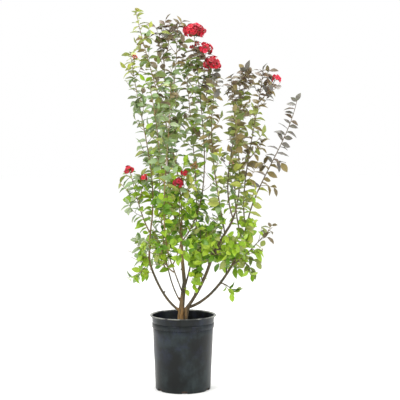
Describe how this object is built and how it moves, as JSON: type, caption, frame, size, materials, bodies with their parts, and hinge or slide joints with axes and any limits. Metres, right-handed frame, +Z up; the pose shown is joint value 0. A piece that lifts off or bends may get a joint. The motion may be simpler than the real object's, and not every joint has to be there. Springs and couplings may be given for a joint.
{
  "type": "potted crape myrtle shrub",
  "caption": "Upright crape myrtle shrub with a short forked trunk, spreading boughs, leafy whips and red flower heads, growing in a round black nursery pot.",
  "frame": {"origin": "middle of the pot's flat underside, where the pot stands", "axes": "+Z up along the pot's axis, -Y towards the front, +X to the right of the front view"},
  "size_m": [0.7375, 0.5287, 1.5718],
  "materials": {
    "pot_plastic": "dusty matte black",
    "potting_mix": "damp crumbly bark mix",
    "bark": "thin flaking bark",
    "foliage_fresh": "satin leaf",
    "foliage_grey": "satin leaf",
    "foliage_olive": "satin leaf",
    "foliage_bronze": "satin leaf",
    "foliage_lime": "satin leaf",
    "flower_red": "soft crinkled petals"
  },
  "bodies": {
    "root": {"pot": "pot_plastic", "potting_mix": "potting_mix", "trunk": "bark", "bough_left": "bark", "bough_left_upper": "bark", "bough_left_back": "bark", "bough_front": "bark", "bough_centre": "bark", "bough_centre_upper": "bark", "bough_back": "bark", "bough_right": "bark", "bough_right_upper": "bark", "bough_right_top": "bark", "bough_far_right": "bark", "bough_far_right_upper": "bark", "foliage_tall_left": "foliage_lime", "foliage_bloom_left": "foliage_fresh", "foliage_inner_left": "foliage_grey", "foliage_crown_tall": "foliage_olive", "foliage_crown_middle": "foliage_olive", "foliage_crown_top": "foliage_olive", "foliage_crown_bloom": "foliage_olive", "foliage_back_left": "foliage_grey", "foliage_front_left": "foliage_grey", "foliage_crown_back": "foliage_olive", "foliage_right_inner": "foliage_olive", "foliage_right_centre": "foliage_olive", "foliage_right_high": "foliage_bronze", "foliage_right_back": "foliage_olive", "foliage_bloom_far_right": "foliage_bronze", "foliage_tall_far_right": "foliage_bronze", "foliage_low_left": "foliage_fresh", "foliage_low_back_left": "foliage_fresh", "foliage_low_front_left": "foliage_fresh", "foliage_low_front": "foliage_fresh", "foliage_low_centre": "foliage_fresh", "foliage_low_back_right": "foliage_fresh", "foliage_low_inner_right": "foliage_fresh", "foliage_low_front_right": "foliage_fresh", "foliage_low_right": "foliage_fresh", "foliage_low_middle_right": "foliage_fresh", "foliage_low_back_far_right": "foliage_fresh", "foliage_low_outer_right": "foliage_fresh", "foliage_low_far_right": "foliage_fresh", "foliage_hanging": "foliage_fresh"}
  },
  "joints": []
}
